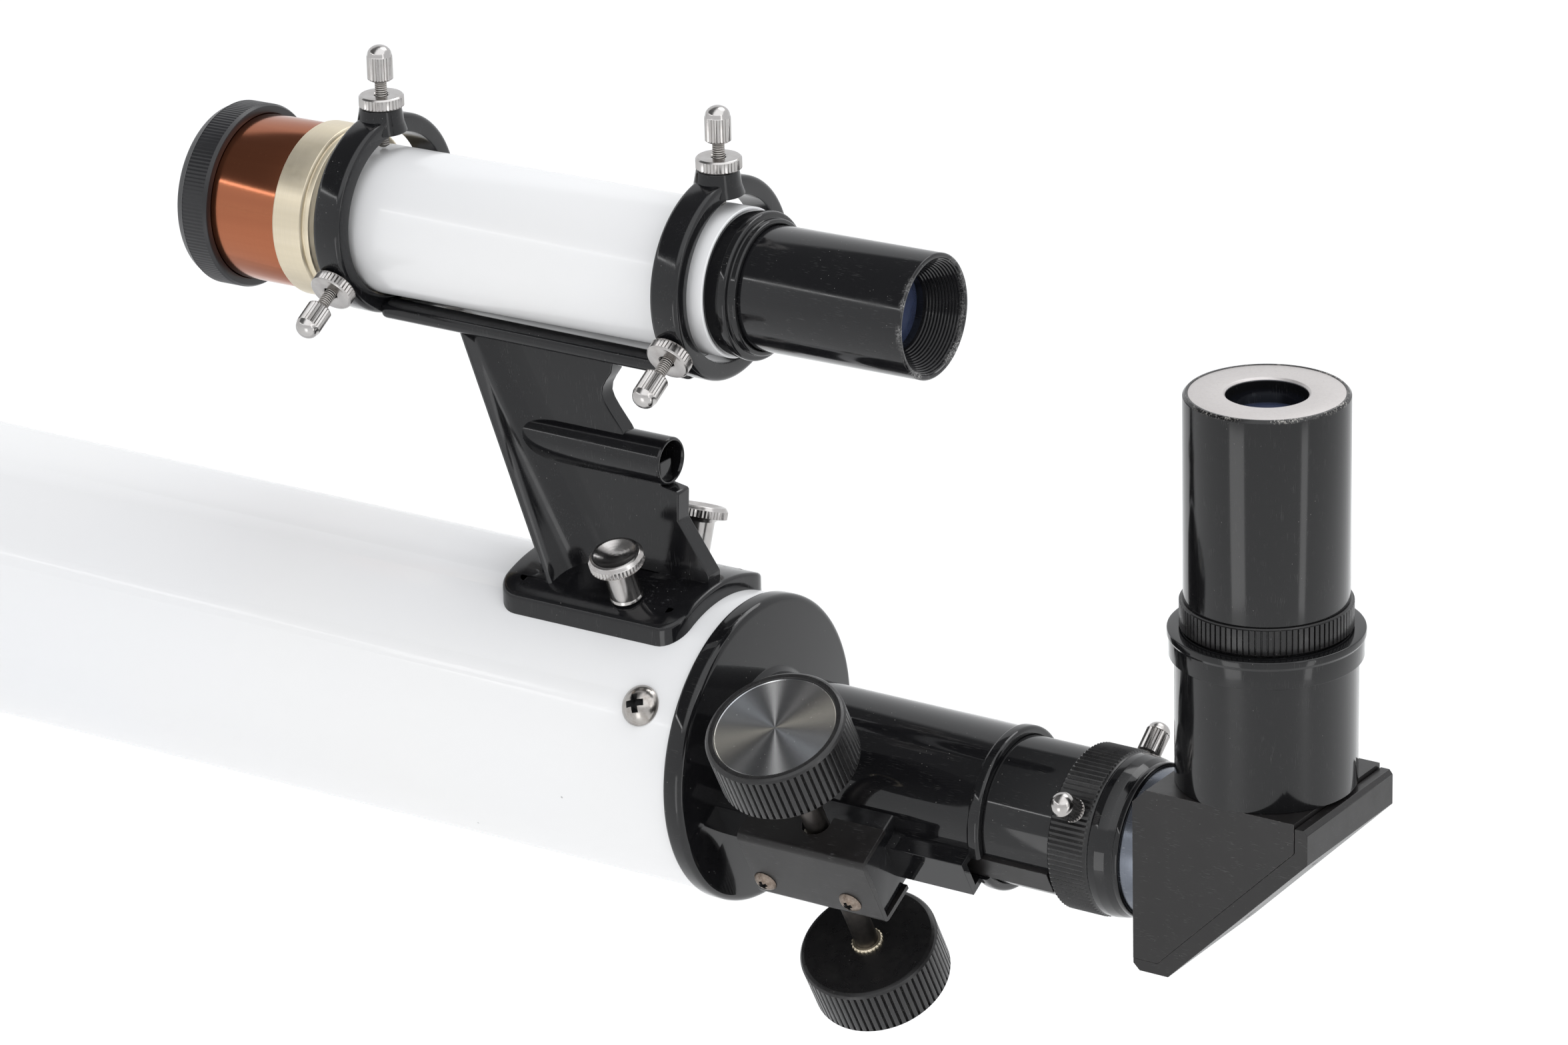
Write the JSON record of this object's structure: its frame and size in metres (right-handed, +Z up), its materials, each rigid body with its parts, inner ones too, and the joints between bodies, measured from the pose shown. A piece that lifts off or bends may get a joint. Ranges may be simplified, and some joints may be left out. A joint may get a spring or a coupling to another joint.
{
  "type": "refractor telescope",
  "caption": "Small refractor telescope tube with a finder in adjustable rings, a rack and pinion focuser, a prism star diagonal and an eyepiece.",
  "frame": {"origin": "on the optical axis, at the middle of the altitude pivot between the two side bosses", "axes": "+X along the optical axis towards the eyepiece, +Y along the altitude pivot, +Z up through the finder"},
  "size_m": [0.7477, 0.0917, 0.2],
  "materials": {
    "main_tube": "gloss baked enamel, off-white",
    "tube_baffles": "matt black paint against stray light",
    "objective_cell": "gloss black moulding",
    "crown_lens": "coated optical glass",
    "flint_lens": "coated optical glass",
    "lens_spacer": "satin black moulding",
    "lens_retaining_ring": "satin black moulding",
    "yoke_bosses": "satin black moulding",
    "yoke_rivets": "plain steel, slightly tarnished",
    "focuser_housing": "gloss black moulding",
    "focuser_screws": "plain steel, slightly tarnished",
    "pinion_bracket": "satin black paint",
    "pinion_pad": "natural nylon",
    "pinion_bracket_screws": "plain steel, slightly tarnished",
    "finder_bracket": "gloss black moulding",
    "bracket_studs": "polished nickel plate",
    "aim_lock_nuts": "polished nickel plate",
    "dew_shield": "gloss black moulding",
    "thumb_nut_near": "polished nickel plate",
    "thumb_nut_far": "polished nickel plate",
    "drawtube": "gloss black moulding",
    "focus_rack": "satin black moulding",
    "adapter_collar": "gloss black moulding",
    "pinion_shaft": "dark steel",
    "pinion_gear": "turned brass, pale",
    "focus_knob_near": "gloss black moulding",
    "focus_knob_far": "gloss black moulding",
    "knob_discs": "spun face with fine rings",
    "knob_washers": "turned brass, pale",
    "adapter_thumbscrew_near": "polished nickel plate",
    "adapter_thumbscrew_far": "polished nickel plate",
    "diagonal_nosepiece": "polished nickel plate",
    "diagonal_body": "satin black paint",
    "diagonal_cover": "satin black paint",
    "diagonal_cover_screws": "plain steel, slightly tarnished",
    "diagonal_sleeve": "satin black paint",
    "diagonal_prism": "polished glass",
    "prism_clamp": "plain steel, slightly tarnished",
    "eyepiece_barrel": "polished nickel plate",
    "eyepiece_body": "gloss black moulding",
    "eyepiece_grip": "gloss black moulding",
    "eyepiece_top_plate": "grey metallic",
    "eye_lens": "coated optical glass",
    "field_lens": "coated optical glass",
    "field_stop": "matt black paint against stray light",
    "finder_tube": "gloss baked enamel, off-white",
    "finder_collar": "gloss black moulding",
    "finder_cell": "orange copper anodised, turned",
    "finder_brass_ring": "turned brass, pale",
    "finder_objective": "coated optical glass",
    "finder_cap": "satin black moulding",
    "finder_eyepiece_tube": "gloss black moulding",
    "finder_eye_lens": "coated optical glass",
    "finder_cross_wires": "matt black paint against stray light",
    "aim_screw_front_top": "polished nickel plate",
    "aim_screw_front_near": "polished nickel plate",
    "aim_screw_front_far": "polished nickel plate",
    "aim_screw_rear_top": "polished nickel plate",
    "aim_screw_rear_near": "polished nickel plate",
    "aim_screw_rear_far": "polished nickel plate"
  },
  "bodies": {
    "tube": {"main_tube": "main_tube", "tube_baffles": "tube_baffles", "objective_cell": "objective_cell", "crown_lens": "crown_lens", "flint_lens": "flint_lens", "lens_spacer": "lens_spacer", "lens_retaining_ring": "lens_retaining_ring", "yoke_bosses": "yoke_bosses", "yoke_rivets": "yoke_rivets", "focuser_housing": "focuser_housing", "focuser_screws": "focuser_screws", "pinion_bracket": "pinion_bracket", "pinion_pad": "pinion_pad", "pinion_bracket_screws": "pinion_bracket_screws", "finder_bracket": "finder_bracket", "bracket_studs": "bracket_studs", "aim_lock_nuts": "aim_lock_nuts"},
    "dew_shield": {"dew_shield": "dew_shield"},
    "thumb_nut_near": {"thumb_nut_near": "thumb_nut_near"},
    "thumb_nut_far": {"thumb_nut_far": "thumb_nut_far"},
    "drawtube": {"drawtube": "drawtube", "focus_rack": "focus_rack", "adapter_collar": "adapter_collar"},
    "focus_shaft": {"pinion_shaft": "pinion_shaft", "pinion_gear": "pinion_gear", "focus_knob_near": "focus_knob_near", "focus_knob_far": "focus_knob_far", "knob_discs": "knob_discs", "knob_washers": "knob_washers"},
    "adapter_thumbscrew_near": {"adapter_thumbscrew_near": "adapter_thumbscrew_near"},
    "adapter_thumbscrew_far": {"adapter_thumbscrew_far": "adapter_thumbscrew_far"},
    "diagonal": {"diagonal_nosepiece": "diagonal_nosepiece", "diagonal_body": "diagonal_body", "diagonal_cover": "diagonal_cover", "diagonal_cover_screws": "diagonal_cover_screws", "diagonal_sleeve": "diagonal_sleeve", "diagonal_prism": "diagonal_prism", "prism_clamp": "prism_clamp"},
    "eyepiece": {"eyepiece_barrel": "eyepiece_barrel", "eyepiece_body": "eyepiece_body", "eyepiece_grip": "eyepiece_grip", "eyepiece_top_plate": "eyepiece_top_plate", "eye_lens": "eye_lens", "field_lens": "field_lens", "field_stop": "field_stop"},
    "finder": {"finder_tube": "finder_tube", "finder_collar": "finder_collar", "finder_cell": "finder_cell", "finder_brass_ring": "finder_brass_ring", "finder_objective": "finder_objective"},
    "finder_cap": {"finder_cap": "finder_cap"},
    "finder_eyepiece": {"finder_eyepiece_tube": "finder_eyepiece_tube", "finder_eye_lens": "finder_eye_lens", "finder_cross_wires": "finder_cross_wires"},
    "aim_screw_front_top": {"aim_screw_front_top": "aim_screw_front_top"},
    "aim_screw_front_near": {"aim_screw_front_near": "aim_screw_front_near"},
    "aim_screw_front_far": {"aim_screw_front_far": "aim_screw_front_far"},
    "aim_screw_rear_top": {"aim_screw_rear_top": "aim_screw_rear_top"},
    "aim_screw_rear_near": {"aim_screw_rear_near": "aim_screw_rear_near"},
    "aim_screw_rear_far": {"aim_screw_rear_far": "aim_screw_rear_far"}
  },
  "joints": [
    {"name": "dew_shield_slide", "type": "slide", "parent": "tube", "child": "dew_shield", "axis": [-1, 0, 0], "range_m": [0, 0.0215]},
    {"name": "thumb_nut_near_turn", "type": "hinge", "parent": "tube", "child": "thumb_nut_near", "pos_m": [0.238, -0.01436, 0.03947], "axis": [0, -0.342, 0.9397], "continuous": true},
    {"name": "thumb_nut_far_turn", "type": "hinge", "parent": "tube", "child": "thumb_nut_far", "pos_m": [0.238, 0.01436, 0.03947], "axis": [0, 0.342, 0.9397], "continuous": true},
    {"name": "focus_slide", "type": "slide", "parent": "tube", "child": "drawtube", "axis": [1, 0, 0], "range_m": [-0.016, 0.06]},
    {"name": "focus_turn", "type": "hinge", "parent": "tube", "child": "focus_shaft", "pos_m": [0.293, -0.01965, -0.01054], "axis": [0, 0.4726, -0.8813], "range_deg": [-188, 702]},
    {"name": "adapter_thumbscrew_near_turn", "type": "hinge", "parent": "drawtube", "child": "adapter_thumbscrew_near", "pos_m": [0.3514, -0.01658, 0.01118], "axis": [0, -0.829, 0.5592], "continuous": true},
    {"name": "adapter_thumbscrew_far_turn", "type": "hinge", "parent": "drawtube", "child": "adapter_thumbscrew_far", "pos_m": [0.3514, 0.01576, 0.01231], "axis": [0, 0.788, 0.6157], "continuous": true},
    {"name": "diagonal_turn", "type": "hinge", "parent": "drawtube", "child": "diagonal", "pos_m": [0.359, 0, 0], "axis": [1, 0, 0], "continuous": true},
    {"name": "eyepiece_slide", "type": "slide", "parent": "diagonal", "child": "eyepiece", "axis": [0, 0, 1], "range_m": [0, 0.0255]},
    {"name": "finder_pitch", "type": "hinge", "parent": "tube", "child": "finder", "pos_m": [0.2566, 0, 0.1063], "axis": [0, 1, 0], "range_deg": [0, 1.8]},
    {"name": "aim_screw_front_top_slide", "type": "slide", "parent": "tube", "child": "aim_screw_front_top", "axis": [0, 0, 1], "range_m": [0, 0.0028]},
    {"name": "aim_screw_front_near_slide", "type": "slide", "parent": "tube", "child": "aim_screw_front_near", "axis": [0, -0.866, -0.5], "range_m": [-0.0014, 0]},
    {"name": "aim_screw_front_far_slide", "type": "slide", "parent": "tube", "child": "aim_screw_front_far", "axis": [0, 0.866, -0.5], "range_m": [-0.0014, 0]},
    {"name": "aim_screw_rear_top_turn", "type": "hinge", "parent": "tube", "child": "aim_screw_rear_top", "pos_m": [0.2566, 0, 0.1368], "axis": [0, 0, 1], "continuous": true},
    {"name": "aim_screw_rear_near_turn", "type": "hinge", "parent": "tube", "child": "aim_screw_rear_near", "pos_m": [0.2566, -0.02598, 0.0918], "axis": [0, -0.866, -0.5], "continuous": true},
    {"name": "aim_screw_rear_far_turn", "type": "hinge", "parent": "tube", "child": "aim_screw_rear_far", "pos_m": [0.2566, 0.02598, 0.0918], "axis": [0, 0.866, -0.5], "continuous": true},
    {"name": "finder_cap_slide", "type": "slide", "parent": "finder", "child": "finder_cap", "axis": [-0.9999, 0, -0.0126], "range_m": [0, 0.007]},
    {"name": "finder_focus_slide", "type": "slide", "parent": "finder", "child": "finder_eyepiece", "axis": [0.9999, 0, 0.0126], "range_m": [-0.003, 0.006]}
  ],
  "couplings": [
    {"joint": "focus_turn", "follows": "focus_slide", "rad_per_m": 204.08},
    {"joint": "aim_screw_front_top_slide", "follows": "finder_pitch", "m_per_rad": 0.0879},
    {"joint": "aim_screw_front_near_slide", "follows": "finder_pitch", "m_per_rad": -0.04395},
    {"joint": "aim_screw_front_far_slide", "follows": "finder_pitch", "m_per_rad": -0.04395}
  ]
}
